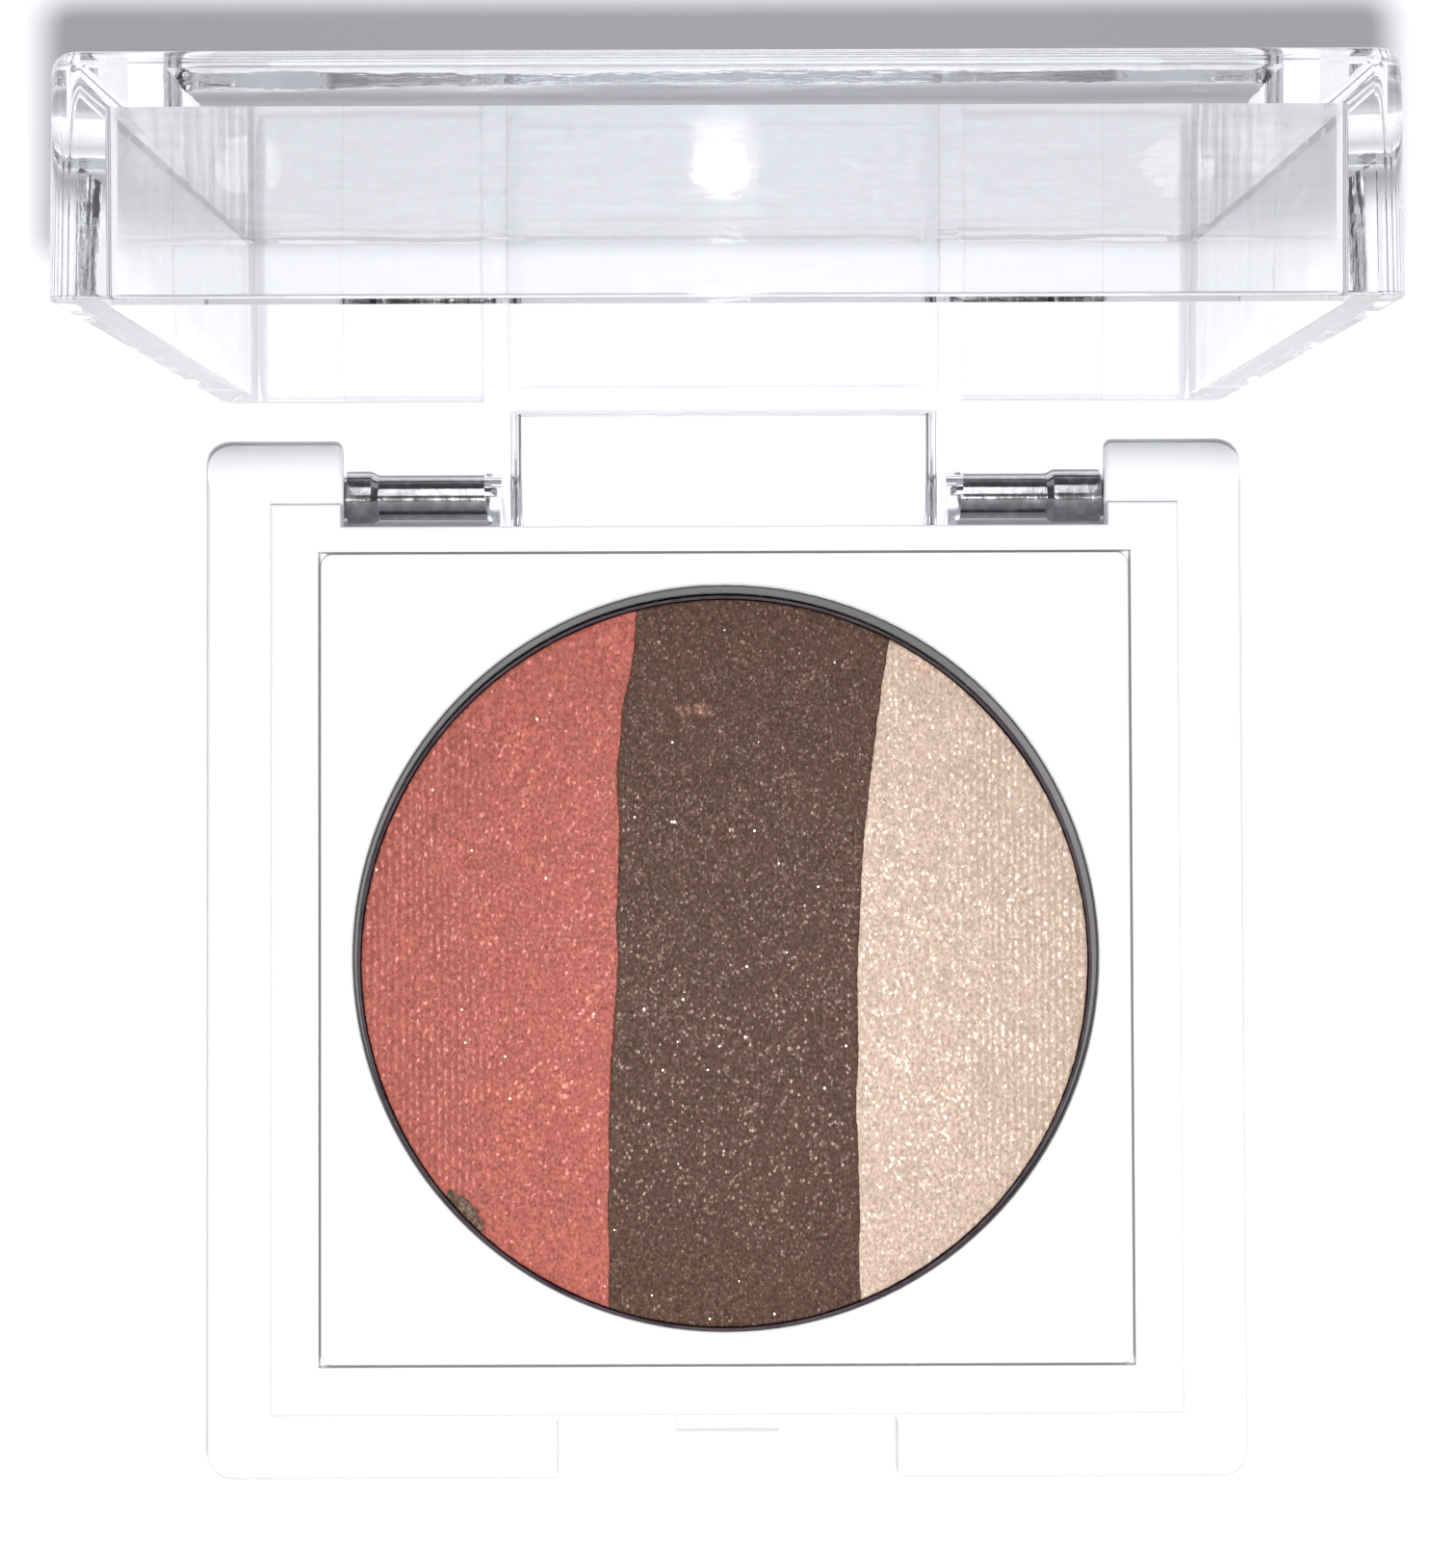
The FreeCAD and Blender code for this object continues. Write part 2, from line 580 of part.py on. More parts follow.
body = new_body("powder_champagne")
sk = new_sketch(body, "champagne_plan", "XY_Plane")
rim = rim_arc(sk, RL, RT)
edge = border_arc(sk, RC, S["right_bend"], RT, RL)
sk.addConstraint(Sketcher.Constraint("Coincident", rim, 2, edge, 1))
sk.addConstraint(Sketcher.Constraint("Coincident", rim, 1, edge, 2))
fix_x(sk, rim, 2, rx_top)
fix_x(sk, rim, 1, rx_low)
place_powder(body, sk)

body = new_body("powder_brown")
sk = new_sketch(body, "brown_plan", "XY_Plane")
rear_rim = rim_arc(sk, RT, LT)
front_rim = rim_arc(sk, LL, RL)
left_edge = border_arc(sk, LC, S["left_bend"], LT, LL)
right_edge = border_arc(sk, RC, S["right_bend"], RT, RL)
sk.addConstraint(Sketcher.Constraint("Coincident", rear_rim, 2, left_edge, 1))
sk.addConstraint(Sketcher.Constraint("Coincident", left_edge, 2, front_rim, 1))
sk.addConstraint(Sketcher.Constraint("Coincident", front_rim, 2, right_edge, 2))
sk.addConstraint(Sketcher.Constraint("Coincident", right_edge, 1, rear_rim, 1))
fix_x(sk, rear_rim, 2, lx_top)
fix_x(sk, front_rim, 1, lx_low)
fix_x(sk, rear_rim, 1, rx_top)
fix_x(sk, front_rim, 2, rx_low)
place_powder(body, sk)


# ---------------------------------------------------------------- hinge pins
def hinge_pin(label, side, collar_start):
    body = new_body(label)
    sk = new_sketch(body, label + "_profile", "XY_Plane")
    k = float(side)
    c = S["pin_cham"]
    cone = collar_start - S["collar_cone"]
    end = S["knuckle_in"] + S["tail_len"]
    profile = [(S["pin_end"], 0.0), (S["pin_end"], S["pin_rad"] - c), (S["pin_end"] + c, S["pin_rad"]),
               (cone, S["pin_rad"]), (cone, S["neck_rad"]), (collar_start, S["collar_rad"]),
               (S["collar_back"], S["collar_rad"]), (S["collar_back"], S["tail_rad"]),
               (end - c, S["tail_rad"]), (end, S["tail_rad"] - c), (end, 0.0)]
    polygon(sk, [(Q.of(x) * k, y) for x, y in profile])
    revolve(body, sk, label + "_turned", "X_Axis")
    sk = new_sketch(body, label + "_flats_plan", "XZ_Plane")
    x0, x1 = S["collar_back"] * k, (end + 1.0) * k
    if side < 0:
        x0, x1 = x1, x0
    rectangle(sk, x0, x1, S["tail_flat"], S["tail_rad"] + 0.5)
    rectangle(sk, x0, x1, -(S["tail_rad"] + 0.5), -S["tail_flat"])
    pocket(body, sk, label + "_flats", S["tail_rad"] * 4.0, both=True)
    body.setExpression("Placement.Base.y", S["hinge_y"].text)
    body.setExpression("Placement.Base.z", S["hinge_z"].text)


hinge_pin("hinge_pin_right", 1, S["collar_right"])
hinge_pin("hinge_pin_left", -1, S["collar_left"])


# ----------------------------------------------------------- friction sleeves
def friction_sleeve(label, side, collar_start):
    body = new_body(label)
    k = float(side)
    x0 = S["sleeve_end"]
    x1 = collar_start - S["collar_cone"] - S["sleeve_gap"]
    sk = new_sketch(body, label + "_ring", "YZ_Plane", x0 * k)
    circle(sk, 0, 0, S["sleeve_out"])
    circle(sk, 0, 0, S["sleeve_in"])
    pad(body, sk, label + "_tube", x1 - x0, flip=(side < 0))
    sk = new_sketch(body, label + "_slit_plan", "XY_Plane")
    a, b = (x0 - 1.0) * k, (x1 + 1.0) * k
    if side < 0:
        a, b = b, a
    rectangle(sk, a, b, -S["slit_half"], S["slit_half"])
    pocket(body, sk, label + "_slit", S["sleeve_out"] + 1.0, flip=True)
    body.Placement = FreeCAD.Placement(V(0, 0, 0), FreeCAD.Rotation(V(1, 0, 0), -S["slit_turn"].value))
    body.setExpression("Placement.Base.y", S["hinge_y"].text)
    body.setExpression("Placement.Base.z", S["hinge_z"].text)
    body.setExpression("Placement.Rotation.Angle", S["slit_turn"].text)


friction_sleeve("friction_sleeve_right", 1, S["collar_right"])
friction_sleeve("friction_sleeve_left", -1, S["collar_left"])


# ----------------------------------------------------------------------- lid
# Drawn shut about the hinge axis, then turned open by its placement.
body = new_body("lid_shell")
lh, lf, lr = S["lid_half"], S["lid_front"], S["lid_rear"]
mouth, top = S["mouth_up"], S["mouth_up"] + S["lid_tall"]
sk = new_sketch(body, "lid_plan", "XY_Plane", mouth)
rectangle(sk, -lh, lh, -lf, lr)
pad(body, sk, "lid_block", S["lid_tall"], taper=-S["lid_draft"])
fillet(body, "lid_corners", S["corner_rad"], lambda e: e.BoundBox.ZMax - e.BoundBox.ZMin > 5.0)
fillet(body, "lid_top_edge", S["lid_round"], lambda e: at_height(e, top.value))
fillet(body, "lid_mouth_edge", S["mouth_round"], lambda e: at_height(e, mouth.value))

hh, hf, hr, hs, sh = S["hollow_half"], S["hollow_front"], S["hollow_rear"], S["hollow_step"], S["step_half"]
sk = new_sketch(body, "lid_hollow_plan", "XY_Plane", mouth)
polygon(sk, [(-hh, -hf), (hh, -hf), (hh, -hr), (sh, -hr), (sh, -hs), (-sh, -hs), (-sh, -hr), (-hh, -hr)])
pocket(body, sk, "lid_hollow", S["hollow_deep"], flip=True)
fillet(body, "lid_hollow_corners", S["hollow_corner"],
       lambda e: upright(e) and near(abs(e.BoundBox.XMin), hh.value))

# lug: web, two cheeks that run up the rear wall, and the barrel, flush with the web
sk = new_sketch(body, "web_plan", "XY_Plane")
rectangle(sk, -S["lug_half"], S["lug_half"], -S["barrel_rad"], S["web_rear"])
pad(body, sk, "lug_web", mouth + 0.4)
sk = new_sketch(body, "cheek_plan", "XY_Plane")
rectangle(sk, S["cheek_in"], S["lug_half"], -S["barrel_rad"], S["cheek_rear"])
rectangle(sk, -S["lug_half"], -S["cheek_in"], -S["barrel_rad"], S["cheek_rear"])
pad(body, sk, "lug_cheeks", mouth + S["hollow_deep"] + 0.4)

fillet(body, "lug_cheek_roots", S["cheek_round"],
       lambda e: upright(e) and near(abs(e.BoundBox.XMin), S["cheek_in"].value) and near(e.BoundBox.YMin, -hs.value))

sk = new_sketch(body, "barrel_profile", "XY_Plane")
bl, br, bo = S["lug_half"].value, S["barrel_rad"].value, S["barrel_round"].value
pts = [V(-bl, 0, 0), V(-bl, br - bo, 0), V(-bl + bo, br, 0), V(bl - bo, br, 0), V(bl, br - bo, 0), V(bl, 0, 0)]
g0 = sk.addGeometry(Part.LineSegment(pts[0], pts[1]))
g1 = sk.addGeometry(Part.ArcOfCircle(Part.Circle(V(-bl + bo, br - bo, 0), V(0, 0, 1), bo), math.pi / 2, math.pi))
g2 = sk.addGeometry(Part.LineSegment(pts[2], pts[3]))
g3 = sk.addGeometry(Part.ArcOfCircle(Part.Circle(V(bl - bo, br - bo, 0), V(0, 0, 1), bo), 0, math.pi / 2))
g4 = sk.addGeometry(Part.LineSegment(pts[4], pts[5]))
g5 = sk.addGeometry(Part.LineSegment(pts[5], pts[0]))
for ga, pa, gb, pb in ((g0, 2, g1, 2), (g1, 1, g2, 1), (g2, 2, g3, 2), (g3, 1, g4, 1), (g4, 2, g5, 1), (g5, 2, g0, 1)):
    sk.addConstraint(Sketcher.Constraint("Coincident", ga, pa, gb, pb))
bind(sk, Sketcher.Constraint("Radius", g1, bo), S["barrel_round"].text)
bind(sk, Sketcher.Constraint("Radius", g3, bo), S["barrel_round"].text)
fix_x(sk, g1, 3, -(S["lug_half"] - S["barrel_round"]))
fix_y(sk, g1, 3, S["barrel_rad"] - S["barrel_round"])
fix_x(sk, g3, 3, S["lug_half"] - S["barrel_round"])
fix_y(sk, g3, 3, S["barrel_rad"] - S["barrel_round"])
fix_y(sk, g0, 2, S["barrel_rad"] - S["barrel_round"])
fix_y(sk, g4, 1, S["barrel_rad"] - S["barrel_round"])
fix_x(sk, g2, 1, -(S["lug_half"] - S["barrel_round"]))
fix_x(sk, g2, 2, S["lug_half"] - S["barrel_round"])
sk.addConstraint(Sketcher.Constraint("Vertical", g0))
sk.addConstraint(Sketcher.Constraint("Vertical", g4))
sk.addConstraint(Sketcher.Constraint("PointOnObject", g5, 1, -1))
sk.addConstraint(Sketcher.Constraint("PointOnObject", g5, 2, -1))
revolve(body, sk, "lug_barrel", "X_Axis")

# recess behind the lug plate, between the cheeks
sk = new_sketch(body, "recess_behind_plan", "XY_Plane", -(S["barrel_rad"] + 0.5))
plate_back = S["lug_plate"] - S["barrel_rad"]
rectangle(sk, -S["cheek_in"], S["cheek_in"], plate_back, S["barrel_rad"] + 1.0)
pocket(body, sk, "recess_behind", S["barrel_rad"] + 0.5 + S["lug_recess"], flip=True)
fillet(body, "recess_corners", S["cheek_round"],
       lambda e: upright(e) and near(abs(e.BoundBox.XMin), S["cheek_in"].value) and near(e.BoundBox.YMin, plate_back.value))

for side, name in ((1, "right"), (-1, "left")):
    sk = new_sketch(body, "lug_bore_plan_" + name, "YZ_Plane", S["lug_half"] * float(side))
    circle(sk, 0, 0, S["bore_rad"])
    pocket(body, sk, "lug_bore_" + name, S["bore_deep"], flip=(side < 0))

body.Placement = FreeCAD.Placement(V(0, 0, 0), FreeCAD.Rotation(V(-1, 0, 0), S["lid_open"].value))
body.setExpression("Placement.Base.y", S["hinge_y"].text)
body.setExpression("Placement.Base.z", S["hinge_z"].text)
body.setExpression("Placement.Rotation.Angle", S["lid_open"].text)


# -------------------------------------------------------------- check, export
doc.recompute()
for obj in doc.Objects:
    if "Invalid" in obj.State or "Error" in obj.State:
        raise RuntimeError("%s is %s" % (obj.Name, obj.State))

NODES = ["base_shell", "bottom_cover", "insert_plate", "pan", "pan_adhesive", "powder_coral", "powder_brown",
         "powder_champagne", "hinge_pin_left", "hinge_pin_right", "friction_sleeve_left", "friction_sleeve_right",
         "lid_shell"]
for node in NODES:
    obj = doc.getObject(node)
    shape = obj.Shape
    if shape.isNull() or not shape.isValid() or len(shape.Solids) != 1:
        raise RuntimeError("%s is not one valid solid" % node)
    shape.exportStep("parts/%s.step" % node)
    b = shape.BoundBox
    print("%-22s %9.1f mm3  x %.2f %.2f  y %.2f %.2f  z %.2f %.2f"
          % (node, shape.Volume, b.XMin, b.XMax, b.YMin, b.YMax, b.ZMin, b.ZMax))
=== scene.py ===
import math

import bpy
import numpy as np
from mathutils import Matrix, Vector, noise
from mathutils.geometry import delaunay_2d_cdt


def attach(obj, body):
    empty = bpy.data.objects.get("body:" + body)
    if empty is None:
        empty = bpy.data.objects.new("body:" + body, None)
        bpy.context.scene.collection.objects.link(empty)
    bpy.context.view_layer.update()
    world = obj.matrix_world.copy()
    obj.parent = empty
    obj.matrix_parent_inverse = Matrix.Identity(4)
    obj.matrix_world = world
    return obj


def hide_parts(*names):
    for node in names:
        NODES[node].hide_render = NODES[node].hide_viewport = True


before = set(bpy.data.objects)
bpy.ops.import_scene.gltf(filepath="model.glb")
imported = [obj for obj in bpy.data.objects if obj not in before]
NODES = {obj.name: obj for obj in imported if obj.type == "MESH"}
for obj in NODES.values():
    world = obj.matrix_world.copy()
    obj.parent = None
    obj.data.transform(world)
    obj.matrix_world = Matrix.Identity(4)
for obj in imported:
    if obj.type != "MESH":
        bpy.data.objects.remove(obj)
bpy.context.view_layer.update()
MM = 0.001
scene = bpy.context.scene


def lin(r, g, b):
    """A display colour, 0 to 255, as linear light."""
    def one(c):
        c = c / 255.0
        return c / 12.92 if c <= 0.04045 else ((c + 0.055) / 1.055) ** 2.4
    return (one(r), one(g), one(b), 1.0)


# ------------------------------------------------------------------ materials

class Mat:
    """A node material: add() makes a node with its properties and inputs, and links sockets given as inputs."""

    def __init__(self, name):
        self.m = bpy.data.materials.new(name)
        self.m.use_nodes = True
        self.t = self.m.node_tree
        self.t.nodes.clear()
        self.out = self.t.nodes.new("ShaderNodeOutputMaterial")
        self.co = self.t.nodes.new("ShaderNodeTexCoord").outputs["Object"]

    def add(self, kind, props=None, **inputs):
        n = self.t.nodes.new("ShaderNode" + kind)
        for k, v in (props or {}).items():
            setattr(n, k, v)
        self.put(n, inputs)
        return n

    def put(self, n, inputs):
        for k, v in inputs.items():
            s = n.inputs[int(k[1:])] if k[0] == "i" and k[1:].isdigit() else n.inputs[k.replace("_", " ")]
            if isinstance(v, bpy.types.NodeSocket):
                self.t.links.new(v, s)
            else:
                s.default_value = v

    def scaled(self, x, y, z, turn=0.0, at=None):
        """Object coordinates, in metres, times x, y, z, turned first about Z."""
        v = self.co if at is None else at
        if turn:
            v = self.add("VectorRotate", {"rotation_type": "Z_AXIS"}, Vector=v, Angle=turn).outputs[0]
        return self.add("VectorMath", {"operation": "MULTIPLY"}, i0=v, i1=(x, y, z)).outputs[0]

    def noise(self, scale=None, detail=2.0, rough=0.5, at=None, distort=0.0):
        n = self.add("TexNoise", None, Vector=self.co if at is None else at, Scale=1.0 if scale is None else scale,
                     Detail=detail, Roughness=rough, Distortion=distort)
        return n.outputs["Fac"]

    def cells(self, scale, at=None, feature="F1", random=1.0):
        n = self.add("TexVoronoi", {"feature": feature}, Vector=self.co if at is None else at, Scale=scale, Randomness=random)
        return n.outputs["Distance"], n.outputs["Color"]

    def math(self, op, a, b=0.0, clamp=False):
        return self.add("Math", {"operation": op, "use_clamp": clamp}, i0=a, i1=b).outputs[0]

    def remap(self, v, a, b, c=0.0, d=1.0, smooth=True):
        n = self.add("MapRange", {"interpolation_type": "SMOOTHSTEP" if smooth else "LINEAR", "clamp": True},
                     Value=v, From_Min=a, From_Max=b, To_Min=c, To_Max=d)
        return n.outputs["Result"]

    def mix(self, fac, a, b, blend="MIX"):
        n = self.add("Mix", {"data_type": "RGBA", "blend_type": blend})
        self.put(n, {"i0": fac, "i6": a, "i7": b})
        return n.outputs[2]

    def ramp(self, v, stops):
        n = self.add("ValToRGB", None, Fac=v)
        e = n.color_ramp.elements
        while len(e) < len(stops):
            e.new(0.5)
        for el, (p, c) in zip(e, stops):
            el.position, el.color = p, c
        return n.outputs["Color"]

    def attr(self, name):
        return self.add("Attribute", {"attribute_name": name}).outputs["Fac"]

    def channel(self, colour, i):
        return self.add("SeparateColor", None, Color=colour).outputs[i]

    def bump(self, height, dist, strength=1.0, normal=None):
        n = self.add("Bump", None, Height=height, Distance=dist, Strength=strength)
        if normal is not None:
            self.put(n, {"Normal": normal})
        return n.outputs[0]

    def shade(self, **inputs):
        p = self.add("BsdfPrincipled", None, **inputs)
        self.t.links.new(p.outputs[0], self.out.inputs[0])
        return p


def white_plastic(name, tone, rough, seed, slot=False):
    """Satin white moulding: a fine even texture, slight flow marks and a few specks of dust; with slot, painted shade
    in the slot round the pan.
    """
    m = Mat(name)
    at = m.add("VectorMath", {"operation": "ADD"}, i0=m.co, i1=(seed, seed * 0.7, 0.0)).outputs[0]
    broad = m.noise(45.0, 3.0, 0.5, at)
    fine = m.noise(3800.0, 2.0, 0.6, at)
    d, c = m.cells(330.0, at)
    speck = m.math("MULTIPLY", m.remap(m.channel(c, 0), 0.985, 0.99), m.remap(d, 0.035, 0.02))
    low = tuple(x * 0.975 for x in tone[:3]) + (1.0,)
    body = m.mix(broad, low, tone)
    body = m.mix(m.math("MULTIPLY", speck, 0.45), body, lin(120, 118, 120))
    if slot:
        # Painted shade: the floor of the narrow slot round the pan is painted near-black, standing in for the shadow
        # down the gap.
        flat = m.add("VectorMath", {"operation": "MULTIPLY"}, i0=m.co, i1=(1.0, 1.0, 0.0)).outputs[0]
        r = m.add("VectorMath", {"operation": "LENGTH"}, i0=flat).outputs["Value"]
        slot_shade_depth = m.remap(m.add("SeparateXYZ", None, Vector=m.co).outputs[2], 0.0117, 0.0114)
        body = m.mix(m.math("MULTIPLY", m.remap(r, 0.0227, 0.0225), slot_shade_depth), body, lin(34, 26, 32))
    gloss = m.math("ADD", m.remap(broad, 0.3, 0.7, rough - 0.05, rough + 0.06), m.math("MULTIPLY", fine, 0.06))
    m.shade(Base_Color=body, Roughness=gloss, Normal=m.bump(fine, 0.000004, 0.6), IOR=1.5)
    return m.m


def clear_plastic():
    """Polished clear resin: very slightly wavy faces, hairline scuffs, and light that gets through."""
    m = Mat("clear_resin")
    # Heights in millimetres: a slow swell left by the mould, and the uneven skin that breaks up glare.
    swell = m.math("MULTIPLY", m.noise(60.0, 1.0, 0.4), 0.03)
    skin = m.math("MULTIPLY", m.noise(210.0, 1.0, 0.4), 0.006)
    flow = m.math("MULTIPLY", m.noise(1.0, 1.0, 0.5, m.scaled(16.0, 60.0, 95.0)), 0.024)
    fine = m.math("MULTIPLY", m.noise(820.0, 2.0, 0.5), 0.0016)
    wave = m.math("ADD", m.math("ADD", swell, skin), m.math("ADD", flow, fine))
    a = m.noise(1.0, 2.0, 0.55, m.scaled(2600.0, 60.0, 90.0, 0.5))
    b = m.noise(1.0, 2.0, 0.55, m.scaled(70.0, 2200.0, 110.0, -0.35))
    hair = m.math("MAXIMUM", m.remap(a, 0.70, 0.76), m.remap(b, 0.71, 0.77))
    where = m.remap(m.noise(120.0, 3.0, 0.6), 0.52, 0.68)
    scuff = m.math("MULTIPLY", hair, where)
    rough = m.math("MULTIPLY_ADD", scuff, 0.12)
    rough.node.inputs[2].default_value = 0.006
    p = m.add("BsdfPrincipled", None, Base_Color=(0.985, 0.988, 0.992, 1.0), Roughness=rough,
              Normal=m.bump(wave, 0.001, 1.0), IOR=1.49, Transmission_Weight=1.0)
    # What each face lets through, from square on to grazing.
    slant = m.add("LayerWeight", None, Blend=0.5).outputs["Facing"]
    through = m.ramp(slant, [(p, (t * 0.985, t * 0.985, t, 1.0)) for p, t in (
        (0.0, 0.96), (0.5, 0.92), (0.74, 0.87), (0.83, 0.82), (0.90, 0.74), (0.96, 0.52), (1.0, 0.0))])
    # The end wall bends nearly all of the light aside.
    high = m.add("SeparateXYZ", None, Vector=m.co).outputs[2]
    through = m.mix(1.0, through, m.remap(high, 0.0616, 0.0630, 1.0, 0.10), "MULTIPLY")
    lamp = m.add("BsdfTransparent", None, Color=through)
    ray = m.add("LightPath")
    soft = m.add("MixShader", None, i0=ray.outputs["Is Diffuse Ray"], i1=p.outputs[0], i2=lamp.outputs[0])
    both = m.add("MixShader", None, i0=ray.outputs["Is Shadow Ray"], i1=soft.outputs[0], i2=lamp.outputs[0])
    m.t.links.new(both.outputs[0], m.out.inputs[0])
    return m.m


def steel():
    """Bright turned steel: fine rings along the pin's length and small dark marks."""
    m = Mat("turned_steel")
    rings = m.noise(1.0, 3.0, 0.6, m.scaled(16000.0, 350.0, 350.0))
    marks = m.noise(1500.0, 3.0, 0.6)
    tone = m.mix(m.remap(marks, 0.35, 0.75), lin(168, 164, 164), lin(202, 199, 200))
    rough = m.math("ADD", m.remap(rings, 0.3, 0.7, 0.07, 0.13), m.remap(marks, 0.5, 0.8, 0.0, 0.08))
    m.shade(Base_Color=tone, Metallic=1.0, Roughness=rough, Normal=m.bump(rings, 0.000006, 0.5))
    return m.m


def aluminium():
    """Pressed aluminium pan: draw lines round the wall and patchy powder dust, with the metal painted near-black
    purple as painted shade.
    """
    m = Mat("pan_aluminium_drawn")
    at = m.add("VectorMath", {"operation": "SUBTRACT"}, i0=m.co, i1=(-0.00007, -0.0003, 0.0)).outputs[0]
    s = m.add("SeparateXYZ", None, Vector=at)
    r = m.math("SQRT", m.math("ADD", m.math("MULTIPLY", s.outputs[0], s.outputs[0]), m.math("MULTIPLY", s.outputs[1], s.outputs[1])))
    turn = m.math("ARCTAN2", s.outputs[1], s.outputs[0])
    drawn = m.add("CombineXYZ", None, X=m.math("MULTIPLY", r, 9000.0), Y=m.math("MULTIPLY", turn, 14.0),
                  Z=m.math("MULTIPLY", s.outputs[2], 9000.0)).outputs[0]
    lines = m.noise(1.0, 3.0, 0.6, drawn)
    dust = m.noise(900.0, 4.0, 0.65)
    # Painted shade: both tones are near-black purple, standing in for the shaded ring round the powder.
    tone = m.mix(m.remap(dust, 0.4, 0.7), lin(56, 44, 53), lin(42, 32, 39))
    rough = m.math("ADD", m.remap(lines, 0.3, 0.7, 0.42, 0.56), m.remap(dust, 0.5, 0.8, 0.0, 0.2))
    m.shade(Base_Color=tone, Metallic=0.04, Roughness=rough, Normal=m.bump(lines, 0.000008, 0.5), Specular_IOR_Level=0.15)
    return m.m


def foam_tape():
    m = Mat("foam_tape")
    pores = m.noise(5000.0, 3.0, 0.7)
    m.shade(Base_Color=m.mix(pores, lin(214, 210, 200), lin(238, 236, 228)), Roughness=0.85,
            Normal=m.bump(pores, 0.00004, 0.6))
    return m.m


def times(colour, k):
    return tuple(min(1.0, x * k) for x in colour[:3]) + (1.0,)


def powder(name, base, low, high, flake, spark, gloss, metal, sparkle, press_gain, flake_gain, calm, chip, tint=None, keen=0.21, size=1.0):
    """Pressed shimmer powder: packed grains, pearl flakes that each face their own way and are painted lighter (partly
    their own paler tone, partly painted glint), a few bright sparks painted in as glints, the weave left by the
    pressing cloth with painted shade in its grooves and painted highlight on its threads, and the marks carried by the
    mesh."""
    m = Mat(name)
    dark, light = times(base, low), times(base, high)
    coarse = m.noise(1.0, 1.0, 0.5, m.scaled(3300.0 * size, 2450.0 * size, 3000.0 * size))
    fine = m.noise(1.0, 1.0, 0.5, m.scaled(7600.0 * size, 6000.0 * size, 6800.0 * size, 0.4))
    grain = m.math("ADD", m.math("MULTIPLY", coarse, 0.65), m.math("MULTIPLY", fine, 0.35))
    # The grain stands out in some patches and is pressed smooth in others.
    life = m.remap(m.noise(130.0, 2.0, 0.5), 0.36, 0.64, calm, 1.0)
    swing = m.math("ADD", m.math("MULTIPLY", m.math("SUBTRACT", grain, 0.5), life), 0.5)
    body = m.ramp(swing, [(0.36, dark), (0.5, base), (0.64, light)])
    body = m.mix(m.remap(m.noise(420.0, 3.0, 0.55), 0.42, 0.7, 0.0, 0.22), body, dark)
    if tint is not None:
        body = m.mix(m.remap(m.noise(120.0, 3.0, 0.6), 0.45, 0.72, 0.0, 0.45), body, tint)
    near, tone = m.cells(1.0, m.scaled(4100.0 * size, 3000.0 * size, 3500.0 * size))
    pick = m.channel(tone, 0)
    # Pearl flakes are painted lighter in the base colour: partly their own paler tone, partly painted glint.
    fl = m.math("MULTIPLY", m.math("MULTIPLY", m.remap(pick, 0.66, 0.96), m.remap(near, 0.56, 0.22)), life)
    body = m.mix(m.math("MULTIPLY", fl, flake_gain), body, flake)
    # Some random cells are painted darker.
    dark_cell = m.math("MULTIPLY", m.remap(pick, 0.16, 0.03), m.remap(near, 0.5, 0.2))
    body = m.mix(m.math("MULTIPLY", dark_cell, 0.6), body, dark)
    # Painted shade and painted highlight: the cloth weave's grooves are painted darker and its raised threads lighter,
    # standing in for the shading of its fine relief.
    groove_shade = m.remap(m.attr("press"), -0.05, -0.26)
    body = m.mix(m.math("MULTIPLY", groove_shade, press_gain * 0.45), body, dark)
    weave = m.remap(m.attr("press"), 0.08, 0.50)
    body = m.mix(m.math("MULTIPLY", m.math("MULTIPLY", weave, press_gain), m.remap(grain, 0.36, 0.54)), body, flake)
    # A few bright sparks: painted glints, near-white in the base colour, and also made shiny below.
    sn, sc = m.cells(1.0, m.scaled(3900.0, 3600.0, 3700.0))
    sp = m.math("MULTIPLY", m.remap(m.channel(sc, 1), 1.0 - sparkle, 1.0 - sparkle * 0.5), m.remap(sn, 0.34, 0.16))
    body = m.mix(sp, body, spark)
    speckle = m.ramp(grain, [(0.36, times(chip, 0.6)), (0.5, chip), (0.66, times(chip, 1.9))])
    body = m.mix(m.attr("chip"), body, speckle)
    tilt = m.add("CombineXYZ", None, X=m.channel(tone, 1), Y=m.channel(tone, 2), Z=0.5).outputs[0]
    tilt = m.add("VectorMath", {"operation": "SUBTRACT"}, i0=tilt, i1=(0.5, 0.5, 0.5)).outputs[0]
    tilt = m.add("VectorMath", {"operation": "SCALE"}, i0=tilt, Scale=0.16).outputs[0]
    up = m.add("NewGeometry").outputs["Normal"]
    facing = m.add("VectorMath", {"operation": "NORMALIZE"}, i0=m.add("VectorMath", {"operation": "ADD"}, i0=up, i1=tilt).outputs[0]).outputs[0]
    rough = m.remap(pick, 0.3, 0.95, 0.40, keen)
    shine = m.math("MAXIMUM", m.math("MULTIPLY", m.remap(pick, 0.5, 0.95), metal), m.math("MULTIPLY", sp, 0.5))
    m.shade(Base_Color=body, Roughness=rough, Metallic=shine, Normal=m.bump(grain, 0.00002, 0.4, facing), Specular_IOR_Level=gloss)
    return m.m


